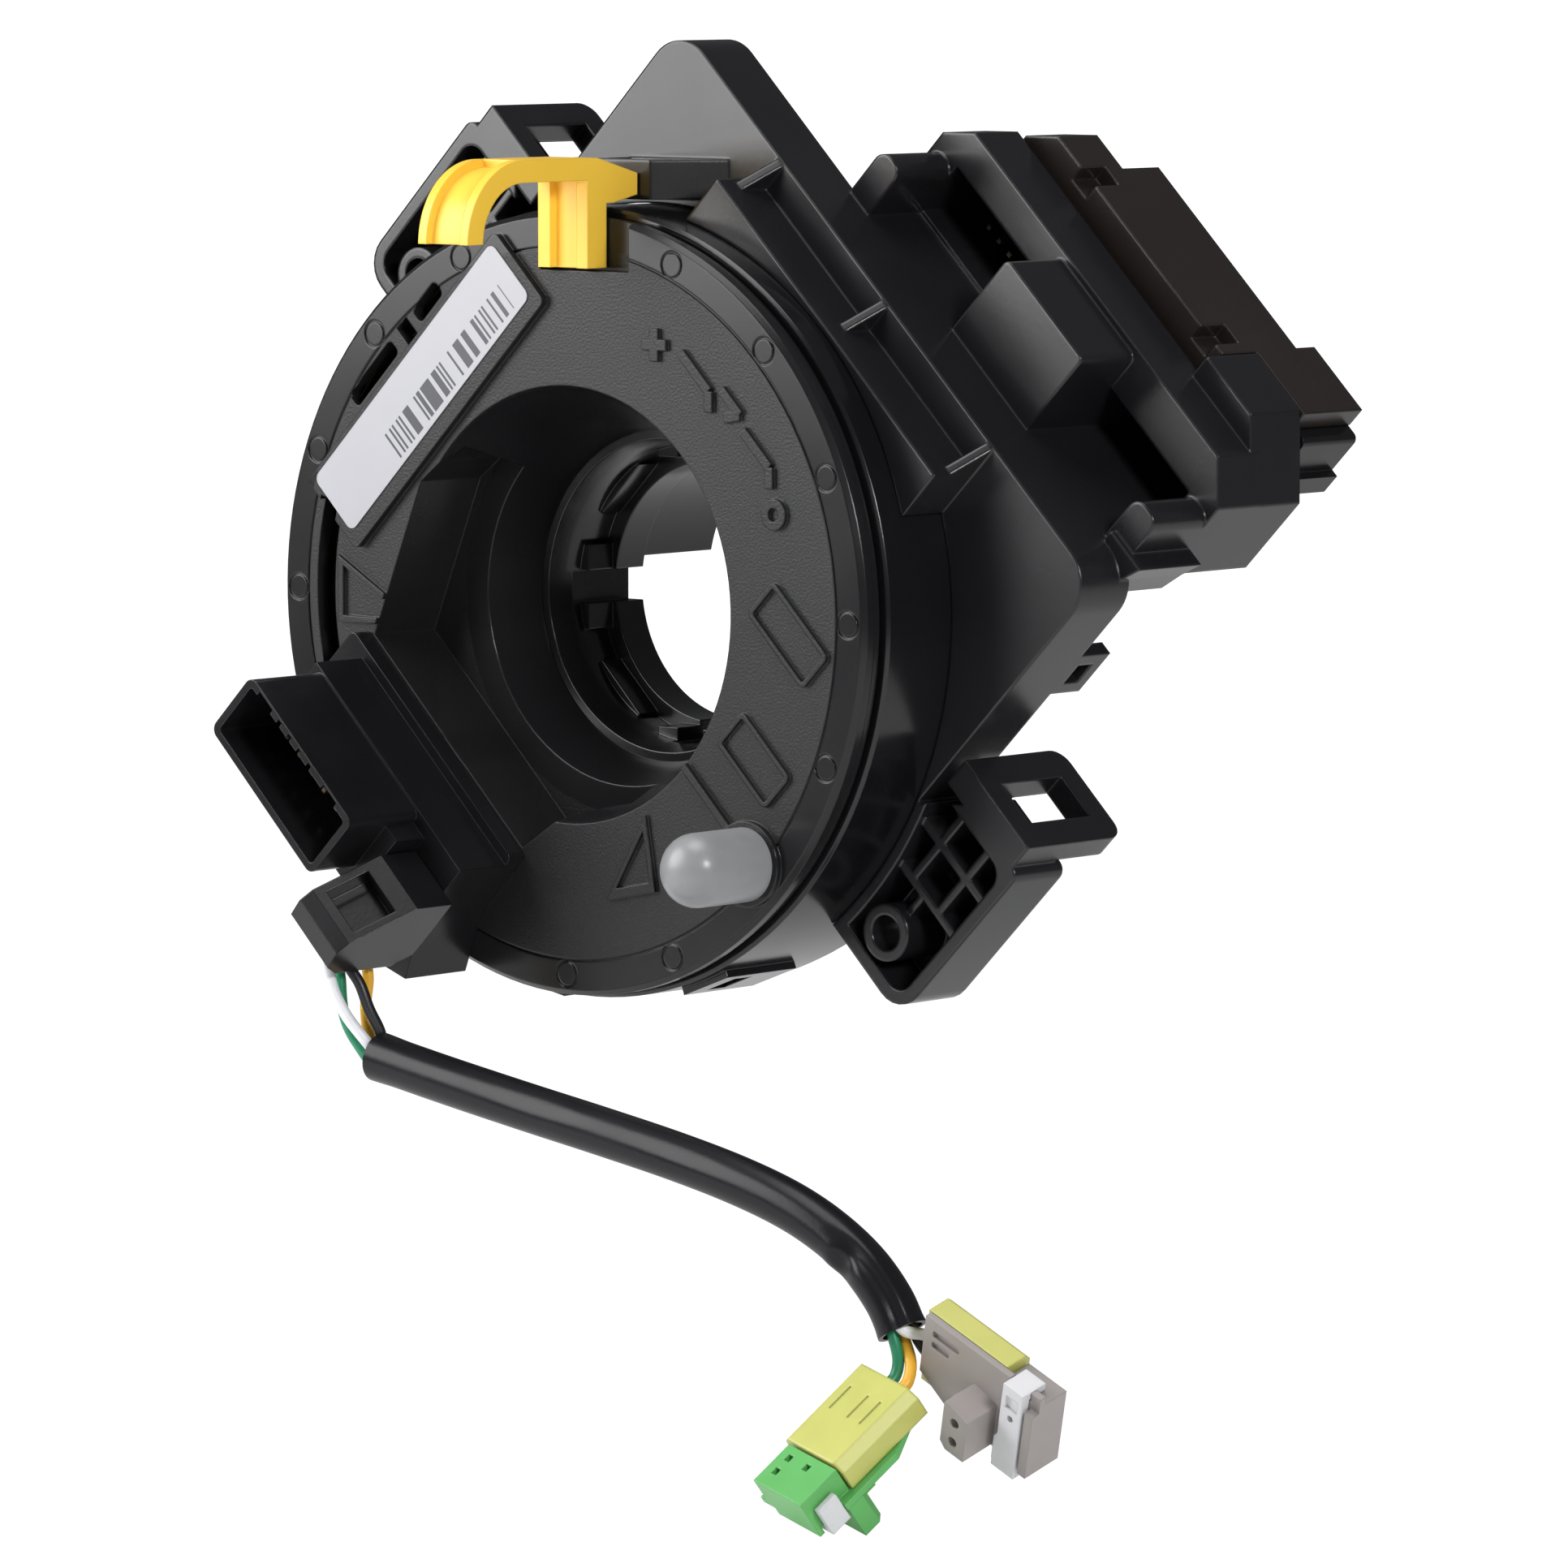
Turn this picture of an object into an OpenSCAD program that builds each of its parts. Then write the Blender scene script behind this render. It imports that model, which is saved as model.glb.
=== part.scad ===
/* [Rotor] */
// Diameter of the rotor disc
rotor_d = 106.2; // [104:0.2:107]
// Depth of the rotor's rim, front to back
rim_depth = 3.7; // [3.2:0.1:4.2]
// Thickness of the rotor's face and walls
rotor_wall = 2; // [1.6:0.1:2.2]
// Radius of the groove line round the face
groove_r = 48.1; // [47.7:0.1:48.3]
// Diameter of the mouth at the front of the funnel
mouth_d = 59.4; // [56:0.2:61]
// Inner diameter of the funnel where it meets the sleeve
throat_d = 45.4; // [43:0.2:46]
// Depth of the funnel
funnel_depth = 20; // [19:0.5:20.5]
// Height of the embossed marks
emboss = 0.6; // [0.4:0.1:0.9]

/* [Column bore] */
// Diameter of the bore round the steering column
bore_d = 36; // [34:0.5:38]
// Length of the bore's land
bore_len = 5.5; // [4:0.5:7]
// Depth of the sleeve's back face behind the rotor's face
sleeve_back = 35.5; // [35:0.1:36]
// Length of the half collar behind the sleeve
collar_len = 14.5; // [10:0.5:18]

/* [Case] */
// Diameter of the cable case
case_d = 107.4; // [106.6:0.2:108]
// Wall of the cable case
case_wall = 1.6; // [1.2:0.1:1.8]
// Gap between the rotor's rim and the case
rim_gap = 0.5; // [0.4:0.1:0.8]
// Depth of the case's back face
case_back = 28; // [27:0.5:28.5]

/* [Switch body] */
// Depth of the frame's front face behind the rotor's face
frame_y = 17; // [16.5:0.5:17.5]
// Depth of the frame, front to back
frame_depth = 10; // [9:0.5:11]
// Half width of the frame
frame_half = 51.5; // [51:0.5:53]
// Height of the frame's top rail above the column axis
frame_top = 59.4; // [59:0.2:61]
// Wall of the frame, ears and block
body_wall = 2; // [1.6:0.1:2.2]
// Reach of the right ear from the column axis
ear_half = 70; // [68.5:0.5:72]
// Reach of the left ear from the column axis
ear_half_left = 69.2; // [68.2:0.2:72]
// Height of the ears' top above the column axis
ear_top = 22.5; // [21:0.5:24]
// Drop of the ears' bottom below the column axis
ear_drop = 6.7; // [5.5:0.1:7]
// Distance between the two fixing holes
ear_pitch = 121; // [119:0.5:123]
// Diameter of the fixing holes
ear_hole_d = 4.8; // [4:0.1:5.4]

/* [Switch block] */
// Left end of the block
block_x0 = -20; // [-21:0.5:-18]
// Right end of the block
block_x1 = 48.2; // [47:0.2:49]
// Height of the block's front strip above the column axis
block_top = 74; // [72:0.2:75]
// Height of the block's cover above the column axis
cover_top = 77.7; // [76.9:0.1:78.5]
// Depth of the block behind the frame's back face
block_depth = 27.7; // [26.5:0.5:29]

/* [Rotor connector] */
// Width of the connector's opening, outside
plug_w = 26.6; // [25:0.2:28]
// Height of the connector's opening, outside
plug_h = 11; // [10:0.2:12]
// Reach of the connector in front of the rotor's face
plug_reach = 25.2; // [23:0.2:26]
// Wall of the connector's shroud
plug_wall = 1.1; // [0.9:0.1:1.3]
// Number of contacts in each row of the rotor connector
pin_count = 6; // [4:1:6]

/* [Lead] */
// Outer diameter of the lead's sleeve
sleeve_od = 6.5; // [6:0.1:7]
// Inner diameter of the lead's sleeve
sleeve_id = 5.2; // [5:0.1:5.6]
// Diameter of each wire over its insulation
wire_d = 1.6; // [1.3:0.1:1.7]

/* [Squib plugs] */
// Length of each squib plug's body
squib_len = 20.6; // [20.4:0.2:23]
// Width of each squib plug's cover
squib_wide = 12; // [11.5:0.1:12.5]
// Thickness of each squib plug's body
squib_thick = 4.9; // [4.7:0.1:5.3]
// Length of each plug's nose
squib_nose = 5.5; // [4:0.5:7]

/* [Shipping lock] */
// Width of the shipping lock
lock_w = 9; // [8:0.5:10]
// Thickness of the shipping lock's arm
lock_t = 3; // [2.5:0.1:3.5]
// Reach of the lock's hook in front of the rotor's face
lock_reach = 25; // [23:0.5:27]

/* [Hidden] */
$fn = 96;

// Turn of the whole unit about the column axis, and of the lock's frame in it
roll = 45;
lock_turn = 45;
// Running gap between pieces on different bodies
gap = 0.3;
// Overlap that joins shapes of one moulding
bite = 0.5;

rotor_r = rotor_d / 2;
mouth_r = mouth_d / 2;
throat_r = throat_d / 2;
bore_r = bore_d / 2;
case_r = case_d / 2;
case_front = rim_depth + rim_gap;
case_inner = case_r - case_wall;
// Hub wall of the rotor, the inner side of the cable chamber
hub_r = 38;
hub_wall = 1.5;
hub_back = frame_y + 4;
// Sleeve that snaps in from behind and holds the rotor in the case
sleeve_r = throat_r - 0.3;
sleeve_mouth_r = sleeve_r - 1.9;
sleeve_step = funnel_depth + 3.8;
snap_r = sleeve_r + 2.1;
snap_t = 1.3;
// Rear hub of the case, which the sleeve turns in
rear_hub_r = sleeve_r + gap;
rear_hub_wall = 2;
rear_hub_back = sleeve_back - snap_t - gap;
cover_t = 1.5;

frame_back = frame_y + frame_depth;
ear_side = frame_half - 1.5;
block_y0 = frame_back + 10;
block_y1 = frame_back + block_depth;
block_floor = frame_top - 3.3;

// Lower part of the funnel's mouth, where the rotor's terminals lie
recess = [[-29, 0], [-30, -8], [-25, -20], [-21, -29.5], [18, -29.5], [20, -20], [24, -14]];
recess_depth = 12;

// Shipping lock, in a frame with Z through the middle of the rim's notch
lock_x = 1;
lock_x0 = lock_x - lock_w / 2;
lock_x1 = lock_x + lock_w / 2;
lock_top = 60.4;
lock_tail = 8.5;
notch = [lock_x0 - 1, lock_x1 + 6];
notch_floor = 45.2;
leg_y = [-1.5, 2.3];
hood_y = lock_tail + gap;
hood_half = 27;
hood_top = frame_top - 4.8;

// Depths are counted from the rotor's face; the frame's origin is in the plane of the ears' front
module unit() translate([0, -frame_y, 0]) rotate([0, roll, 0]) children();
function set_back(pts) = [for (p = pts) p - [0, frame_y, 0]];
module slab(y0, y1) translate([0, y1, 0]) rotate([90, 0, 0]) linear_extrude(y1 - y0) children();
module side(x0, x1) translate([x0, 0, 0]) rotate([90, 0, 90]) linear_extrude(x1 - x0) children();
module disc(r, y0, y1) slab(y0, y1) circle(r);
module turned() rotate([-90, 0, 0]) rotate_extrude() children();
module bar(x, y, z) translate([x[0], y[0], z[0]]) cube([x[1] - x[0], y[1] - y[0], z[1] - z[0]]);
module rounded(x, z, r) {
    translate([x[0] + r, z[0]]) square([x[1] - x[0] - 2 * r, z[1] - z[0]]);
    translate([x[0], z[0] + r]) square([x[1] - x[0], z[1] - z[0] - 2 * r]);
    for (cx = [x[0] + r, x[1] - r], cz = [z[0] + r, z[1] - r]) translate([cx, cz]) circle(r);
}
module frame2d(x, z, r, t) difference() {
    rounded(x, z, r);
    rounded([x[0] + t, x[1] - t], [z[0] + t, z[1] - t], max(r - t, 0.1));
}

// Rotor disc: face, rim, funnel and hub wall in one moulding

module rotor_profile() polygon([
    [mouth_r, 0], [rotor_r - 0.7, 0], [rotor_r, 0.7], [rotor_r, rim_depth - 1.6],
    [rotor_r - 0.5, rim_depth - 1.4], [rotor_r - 0.5, rim_depth], [rotor_r - 2, rim_depth],
    [rotor_r - 2, rotor_wall], [hub_r, rotor_wall], [hub_r, hub_back], [hub_r - hub_wall, hub_back],
    [hub_r - hub_wall, rotor_wall], [mouth_r + 1.2, rotor_wall], [throat_r + 1.6, funnel_depth],
    [throat_r, funnel_depth]
]);

module arrow(x, z, turn, len, head) translate([x, z]) rotate(turn) {
    translate([0, -0.7]) square([len, 1.4]);
    translate([len, 0]) rotate(head) translate([0, -0.7]) square([2.8, 1.4]);
}

module marks() {
    translate([-13.6, 36.9]) rotate(roll) {
        square([4.4, 1.5], center = true);
        square([1.5, 4.4], center = true);
    }
    arrow(-9.6, 39.6, 0, 7, -45);
    arrow(-1.2, 41.4, 0, 4.6, -125);
    arrow(5.2, 40.3, 0, 6.6, -45);
    translate([16.8, 36.5]) difference() {
        circle(2.1);
        circle(0.9);
    }
    frame2d([22.9, 36.6], [23.8, 30.3], 1, 0.7);
    frame2d([31.5, 43.5], [7.5, 14], 1, 0.7);
    difference() {
        polygon([[30, -9], [38.5, -15], [33.5, -22.5]]);
        polygon([[31.2, -10.8], [36.9, -14.9], [33.5, -20]]);
    }
    difference() {
        polygon([[-33.2, -26.4], [-22.3, -23.4], [-20.6, -26.8], [-26.6, -33]]);
        polygon([[-31.5, -26.7], [-23, -24.4], [-21.8, -26.9], [-26.6, -31.6]]);
    }
}

module ejector_marks() for (a = [22.5 : 22.5 : 337.5]) if (a != 90 + lock_turn)
    rotate(a) translate([groove_r + 2.1, 0]) difference() {
        circle(1.9);
        circle(1.6);
    }

module rotor_disc() color("#232325") unit() difference() {
    union() {
        turned() rotor_profile();
        intersection() {
            slab(0.2, recess_depth + rotor_wall) offset_recess();
            disc(hub_r - 0.2, 0, recess_depth + rotor_wall);
        }
        slab(-1.1, bite) rounded([-44, -31], [-23, 27], 1);
        slab(-0.8, bite) translate([mouth_r + 0.2, 0.4]) square([13, 1.1]);
        translate([46.5, 0, 0]) disc(5.8, -0.9, bite);
        slab(-emboss, bite) marks();
        intersection() {
            disc(rotor_r - 1, rotor_wall - bite, rim_depth - 0.1);
            rotate([0, -lock_turn, 0])
                bar([notch[0] - 1.2, notch[1] + 1.2], [0, rim_depth + 1], [notch_floor - 1.2, rotor_r + 2]);
        }
    }
    slab(-2, recess_depth) polygon(recess);
    turned() polygon([[0, -2], [mouth_r + 0.7, -2], [mouth_r, 0], [throat_r, funnel_depth],
        [throat_r, funnel_depth + 1], [0, funnel_depth + 1]]);
    turned() translate([groove_r, -0.1]) square([0.35, 0.35]);
    slab(-0.1, 0.2) ejector_marks();
    rotate([0, -lock_turn, 0]) bar(notch, [-2, rim_depth - 1.1], [notch_floor, rotor_r + 2]);
    for (z = [[7.4, 13.4], [-9.5, 1.6]]) slab(-2, rotor_wall + 1) rounded([-47.6, -45.2], z, 0.8);
    slab(-2, rotor_wall + 1) translate([-47.9, 3.6]) square([3.2, 2.4]);
    slab(-2, rotor_wall + 1) difference() {
        intersection() {
            circle(46.6);
            polygon([[0, 0], [-60, -33], [-34, -60]]);
        }
        circle(43.2);
    }
}
module offset_recess() polygon([for (p = recess) p * (1 + 1.7 / norm(p))]);

// Sleeve: turns in the rear hub, and its snap ring holds the rotor in the case

module rotor_sleeve() color("#1d1d1f") unit() difference() {
    union() {
        turned() polygon([
            [sleeve_mouth_r + 1, funnel_depth + 0.02], [sleeve_r + 1.2, funnel_depth + 0.02],
            [sleeve_r + 1.2, funnel_depth + 1.2], [sleeve_r, funnel_depth + 1.2],
            [sleeve_r, sleeve_back - snap_t], [snap_r, sleeve_back - snap_t],
            [snap_r - 0.5, sleeve_back], [bore_r, sleeve_back], [bore_r, sleeve_back - bore_len],
            [sleeve_mouth_r, sleeve_back - bore_len], [sleeve_mouth_r, sleeve_step]
        ]);
        for (a = [0 : 90 : 270]) rotate([0, a + lock_turn, 0])
            bar([1.2 - sleeve_r, -bore_r - 0.6], [sleeve_step + 1.5, sleeve_back - bore_len + bite], [-5.9, 5.9]);
        for (a = [0 : 90 : 270]) rotate([0, a, 0])
            bar([1.2 - sleeve_r, -bore_r - 1.4], [sleeve_step + 2.5, sleeve_back - bore_len + bite], [-5, 5]);
        rotate([0, 12 - lock_turn, 0]) intersection() {
            turned() translate([bore_r + 0.4, sleeve_back - bite]) square([2, collar_len + bite]);
            bar([-30, 30], [sleeve_back - 1, sleeve_back + collar_len + 1], [0, 30]);
        }
    }
    for (a = [0 : 90 : 270]) rotate([0, a + lock_turn, 0])
        bar([-bore_r - 2.6, -bore_r + 2], [sleeve_step, sleeve_back - (a == 90 ? 1.5 : -1)], [-2.3, 2.3]);
    for (a = [0 : 90 : 270]) rotate([0, a + lock_turn / 2, 0])
        bar([-snap_r - 1, -sleeve_r + 1], [sleeve_back - snap_t - 3, sleeve_back + 1], [-1, 1]);
}

// Connector on the rotor, for the steering wheel's harness

plug_x = [-17.6, -17.6 + plug_w];
plug_z = [-31.6 - plug_h, -31.6];
plug_floor = -9;
pin_pitch = (plug_w - 7) / pin_count;

module connector_housing() color("#19191b") unit() difference() {
    union() {
        slab(-3, 0) rounded([-22.5, 19.3], [-46, -29.8], 1);
        bar([plug_x[0] - 1, 19.3], [-12, -2.5], [-46, plug_z[1] + 0.3]);
        slab(-plug_reach, -11) rounded(plug_x, plug_z, 1.4);
        bar([plug_x[1] - 2, guide_x[0] - gap], [-17.5, -11], [-44.5, -33.2]);
        slab(-12, 0) polygon([[16, -40], [19.3, -40], [20.7, -44.6], [23, -49.6], [19.5, -51.2], [16, -45]]);
    }
    for (k = [[2.6, 3.4], [7.6, 0.8], [10.2, 0.8], [12.8, 0.8], [15.4, 0.8], [19.4, 3.4]])
        translate([plug_x[0] + k[0], 0, plug_z[1]])
            bar([0, k[1]], [-plug_reach - 1, plug_floor - 4], [-plug_wall - 0.1, -0.35]);
    slab(-plug_reach - 1, plug_floor)
        rounded([plug_x[0] + plug_wall, plug_x[1] - plug_wall], [plug_z[0] + plug_wall, plug_z[1] - plug_wall], 0.6);
    slab(-3.4, -2.7) rounded([11, 17.5], [-38.6, -31.5], 0.5);
}

module contact(x, z, y0, y1, w) bar([x - w / 2, x + w / 2], [y0, y1], [z - w / 2, z + w / 2]);

module connector_pins() color("#c9a86a") unit() {
    for (i = [0 : pin_count - 1], z = [plug_z[0] + 3.3, plug_z[1] - 3.3])
        contact(plug_x[0] + 3.5 + (i + 0.5) * pin_pitch, z, plug_floor - 7.5, plug_floor, 0.64);
}

// Guide that leads the wires out of the rotor connector

guide_x = [12.1, 21.7];
guide_z = [-48, -35.5];

module wire_guide() color("#1b1b1d") unit() difference() {
    union() {
        side(guide_x[0], guide_x[1]) polygon([[-12.2, guide_z[0] + 2], [-15, guide_z[0]], [-26, guide_z[0]],
            [-28.5, guide_z[0] + 1.5], [-29, guide_z[0] + 4.5], [-28, guide_z[0] + 6.5], [-20, guide_z[1] - 0.7],
            [-19, guide_z[1]], [-12.2, guide_z[1]]]);
        translate([guide_x[0] - 0.5, -24.5, -44.3]) side(0, 1) circle(1.7);
    }
    side(guide_x[0] + 1.2, guide_x[1] - 1.2) {
        polygon([[-21.8, -36.2], [-27.3, -39.8], [-25.1, -43.2], [-19.6, -39.5]]);
        polygon([[-27, guide_z[0] - 1], [-27, -45.8], [-24.3, -44.6], [-19.2, -41], [-14.5, -41], [-14.5, guide_z[0] - 1]]);
    }
}

module label() color("#d9dbe0") unit() slab(-1.28, -1.12) rounded([-43.2, -33.2], [-21.7, 25.6], 1.2);

// Soft cap over the rotor's locating pin

module locating_cap() color("#cfd0d2") unit() translate([46.5, 0, 0]) turned()
    polygon(concat([[0, -0.95], [5, -0.95], [5, -10.5]], [for (a = [10 : 10 : 90]) [5 * cos(a), -10.5 - 4.6 * sin(a)]]));

// Shipping lock: hook in front, leg in the rim's notch, tail towards the frame's post

hook_r = 11;
hook_c = [hook_r - lock_reach, lock_top - hook_r];

module hook_ring(r0, r1) intersection() {
    translate(hook_c) difference() {
        circle(r1);
        circle(r0);
    }
    translate(hook_c - [2 * hook_r, 0]) square(2 * hook_r);
}

module shipping_lock() color("#f2b52c") unit() rotate([0, -lock_turn, 0]) difference() {
    union() {
        side(lock_x0, lock_x1) {
            hook_ring(hook_r - lock_t, hook_r);
            polygon([[hook_c[0] - 0.01, lock_top], [hook_c[0] - 0.01, lock_top - lock_t],
                [leg_y[0], lock_top - lock_t], [leg_y[0], 50], [leg_y[1], 50],
                [leg_y[1], case_r + 0.6], [rim_depth, case_r + 0.6], [lock_tail, case_r + 1.6],
                [lock_tail, 58.2], [leg_y[0] + 2, lock_top]]);
        }
        bar([lock_x0, lock_x1], leg_y, [notch_floor + 0.4, 54]);
    }
    side(lock_x0 + 1.5, lock_x1 - 1.5) hook_ring(hook_r - 1.1, hook_r + 1);
    bar([lock_x0 + 2.2, lock_x1 - 2], [leg_y[0] - 1, leg_y[0] + 1.2], [notch_floor, lock_top - lock_t]);
}

// Cable case: outer ring and floor of the chamber that the flat cable lies in

case_latches = [24 : 32 : 152];

module cable_case() color("#1a1a1c") unit() difference() {
    union() {
        turned() polygon([
            [case_r - 1.6, case_front], [case_r - 0.4, case_front], [case_r, case_front + 0.4],
            [case_r, case_back - cover_t], [hub_r - hub_wall - 1, case_back - cover_t],
            [hub_r - hub_wall - 1, hub_back + gap], [case_inner, hub_back + gap], [case_inner, case_front]
        ]);
        for (a = case_latches) rotate([0, a, 0])
            bar([case_r - 0.8, case_r + 0.9], [case_front + 2.2, case_back - cover_t - 6], [-4.2, 4.2]);
    }
    for (a = case_latches) rotate([0, a, 0])
        bar([case_r - 0.2, case_r + 2], [9.5, 13], [-2.6, 2.6]);
}

// Flat cable: the ribbon wound in the chamber, one spiral

coil_turns = 6;
coil_r0 = hub_r + gap + 0.3;
coil_r1 = case_inner - gap;
coil_t = 0.3;
coil_steps = 24;
function coil_point(i, off) =
    let (f = i / (coil_turns * coil_steps), r = coil_r0 + (coil_r1 - coil_r0 - coil_t) * f + off, a = 360 * i / coil_steps)
    [r * cos(a), r * sin(a)];

module flat_cable() color("#d8cfae") unit() slab(case_front + 1, hub_back - 1) polygon(concat(
    [for (i = [0 : coil_turns * coil_steps]) coil_point(i, 0)],
    [for (i = [coil_turns * coil_steps : -1 : 0]) coil_point(i, coil_t)]
));

// Rear cover of the case, with the hub that the sleeve turns in

module case_rear_cover() color("#202022") unit() difference() {
    turned() polygon([
        [rear_hub_r, funnel_depth + 1.2 + gap], [rear_hub_r + rear_hub_wall, funnel_depth + 1.2 + gap],
        [rear_hub_r + rear_hub_wall, case_back - cover_t], [case_r - 0.3, case_back - cover_t],
        [case_r - 0.3, case_back], [rear_hub_r + rear_hub_wall + 2, case_back],
        [rear_hub_r + rear_hub_wall, case_back + 2], [rear_hub_r + rear_hub_wall, rear_hub_back],
        [rear_hub_r, rear_hub_back]
    ]);
    for (a = [20 : 120 : 260]) rotate([0, a, 0]) translate([44, 0, 0]) disc(1.6, case_back - 3, case_back + 1);
}

// Switch body: frame, two ears, hood, post and block in one moulding

case_seat = case_r + 0.1;
ear_boss_r = ear_hole_d / 2 + 1.5;
loop_z = [ear_top + 0.5, ear_top + 4];
loop_back = frame_y + 20;
ear_round = 4.5;
// The ear meets the frame's side above the point where the case leaves it
ear_shoulder = max(ear_top - 6, sqrt(max(0, pow(case_seat, 2) - pow(frame_half, 2))) + 1);

module frame() {
    difference() {
        intersection() {
            slab(frame_y, frame_back) rounded([-frame_half, frame_half], [-40, frame_top], 6);
            bar([-60, 60], [0, 60], [-ear_drop, 70]);
        }
        slab(frame_y + body_wall, frame_back + 1)
            rounded([-frame_half + body_wall, frame_half - body_wall], [-50, frame_top - body_wall], 4);
    }
    for (x = [-34, -17, 17, 34])
        bar([x - 0.8, x + 0.8], [frame_y + 1, frame_back - 1], [40, frame_top - 1]);
}

module hood() {
    difference() {
        bar([-hood_half, hood_half], [hood_y, frame_y + bite], [30, hood_top]);
        bar([-hood_half + 1.3, hood_half - 1.3], [hood_y + 1.3, frame_y + 1], [29, hood_top - 1.3]);
    }
    for (x = [-25.5, 0.5, 26.3]) side(x - 0.7, x + 0.7)
        polygon([[hood_y + 3, hood_top - 0.2], [frame_y + bite, hood_top - 0.2],
            [frame_y + bite, frame_top - 0.3], [frame_y, frame_top - 0.3]]);
}

module ear_ribs(half) {
    for (z = [7.6, 14.6]) bar([frame_half, half - 1], [frame_y + 1, frame_back - 2.5], [z - 0.6, z + 0.6]);
    for (x = [57.6, 63.8]) bar([x - 0.6, x + 0.6], [frame_y + 1, frame_back - 2.5], [7.6, ear_top - 1]);
    bar([ear_pitch / 2 - 0.5, ear_pitch / 2 + 0.5], [frame_y + 1, frame_back - 2.5], [-ear_drop + 1, 7.6]);
}

// Points round a corner, from one angle to the other
function corner(c, r, a0, a1) = [for (i = [0 : 6]) let (a = a0 + (a1 - a0) * i / 6) c + r * [cos(a), sin(a)]];

module ear(half) {
    loop_x = [frame_half + 1.5, half - 1.5];
    outline = concat([[ear_side, -ear_drop]], corner([half - ear_round, ear_round - ear_drop], ear_round, -90, 0),
        corner([half - 1.5, ear_top - 1.5], 1.5, 0, 90),
        [[frame_half + 6, ear_top], [ear_side + 1.9, ear_shoulder], [ear_side, ear_shoulder]]);
    difference() {
        union() {
            difference() {
                slab(frame_y, frame_back) polygon(outline);
                slab(frame_y - 1, frame_back - 2.5) difference() {
                    rounded([frame_half + 0.6, half - body_wall], [body_wall - ear_drop, ear_top - body_wall],
                        ear_round - body_wall);
                    circle(case_seat + 1.6);
                }
            }
            intersection() {
                ear_ribs(half);
                difference() {
                    slab(0, 60) polygon(outline);
                    disc(case_seat + 0.8, -1, 61);
                }
            }
            translate([ear_pitch / 2, 0, 0]) disc(ear_boss_r, frame_y - 0.5, frame_back);
        }
        translate([ear_pitch / 2, 0, 0]) disc(ear_hole_d / 2, frame_y - 2, frame_back + 1);
    }
    difference() {
        translate([0, 0, loop_z[0] - 1]) linear_extrude(loop_z[1] - loop_z[0] + 1)
            polygon(concat([[loop_x[0], frame_y], [loop_x[1], frame_y]],
                corner([loop_x[1] - 2.5, loop_back - 2.5], 2.5, 0, 90),
                corner([loop_x[0] + 2.5, loop_back - 2.5], 2.5, 90, 180)));
        bar([loop_x[0] + 4.5, loop_x[1] - 4], [frame_y + 3.6, loop_back - 3.8], [loop_z[0] - 3, loop_z[1] + 1]);
        bar(loop_x + [-1, 1], [frame_back - 1, loop_back + 1], [loop_z[0] - 2, loop_z[0]]);
    }
    difference() {
        bar([frame_half - body_wall, frame_half], [frame_back - 4, frame_back + 6], [37, 44.6]);
        bar([frame_half - body_wall - 1, frame_half + 1], [frame_back + 1, frame_back + 4], [39, 42.6]);
    }
}

// The post is drawn in the shipping lock's frame
module post() rotate([0, -lock_turn, 0]) difference() {
    translate([0, 0, 54.6]) linear_extrude(5.4)
        polygon([[lock_x0, frame_y + 1], [lock_x0, hood_y], [lock_x1 + 2, hood_y], [lock_x1 + 10, frame_y + 1]]);
    bar([lock_x0 + 1.5, lock_x1], [hood_y + 1.5, frame_y - 1.5], [58.4, 61]);
}

cube_x = [5.9, 24.3];
ear_left = [block_x0 + 0.5, block_x0 + 5];
ear_right = [block_x1 - 5, block_x1];
strip_depth = 9;
// Raised right end of the block, beside the cover
end_x0 = cube_x[1] + 4.7;
end_y0 = block_y0 + 7;
end_cut = block_top - 5.1;
// Floor and roof of the sockets for the stalk switches
socket_z = [frame_top + 0.6, block_top - 5.5];

module block_outline(x0, x1, z0, z1, cut) polygon([
    [x0, z0], [x1, z0], [x1, z1 - cut], [x1 - cut, z1], [x0 + 4, z1], [x0, z1 - 4]
]);

module switch_block() difference() {
    union() {
        slab(block_y0, block_y0 + strip_depth) block_outline(block_x0, block_x1, block_floor, block_top, 5);
        slab(block_y0 + strip_depth - bite, block_y1) block_outline(block_x0, block_x1, block_floor, block_top - 3, 5);
        slab(end_y0, block_y1) polygon([[end_x0, block_floor], [block_x1, block_floor], [block_x1, end_cut],
            [block_x1 - cover_top + end_cut, cover_top], [end_x0, cover_top]]);
        slab(frame_back - 1, block_y0 + 1) {
            rounded(cube_x, [frame_top - 3, 73], 1);
            rounded(ear_left, [frame_top - 3, 67.8], 2);
            rounded(ear_right, [frame_top - 3, 67.2], 2);
        }
        bar([block_x0 + 2, block_x1 - 1], [frame_back - 1, block_y0 + 1], [block_floor, frame_top]);
        slab(frame_back - 2, block_y0 + 1) polygon([[44, 54], [48.7, 54], [49.7, 57.7], [51, 61.2], [44, 61.2]]);
    }
    bar([ear_left[1], cube_x[0]], [frame_back - 2, block_y1 - 3], socket_z);
    bar([cube_x[1], ear_right[0]], [frame_back - 2, block_y1 - 3], [frame_top + 0.01, block_top - 7]);
    bar([cube_x[0] + 2, cube_x[1] - 2], [frame_back + 2, block_y1 - 3], [frame_top + 0.6, 71]);
}

module switch_body() color("#1f1f21") unit() difference() {
    union() {
        frame();
        hood();
        post();
        ear(ear_half);
        mirror([1, 0, 0]) ear(ear_half_left);
        switch_block();
    }
    disc(case_seat, hood_y - 1, loop_back + 5);
}

// Cover of the block, with its two latches

lid_x = [block_x0 + 4.5, cube_x[1] + 15.8];
lid_y = [block_y0 + strip_depth + 1.6, block_y1 + 1.2];
latch_x = [-5.2, 24];

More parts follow.
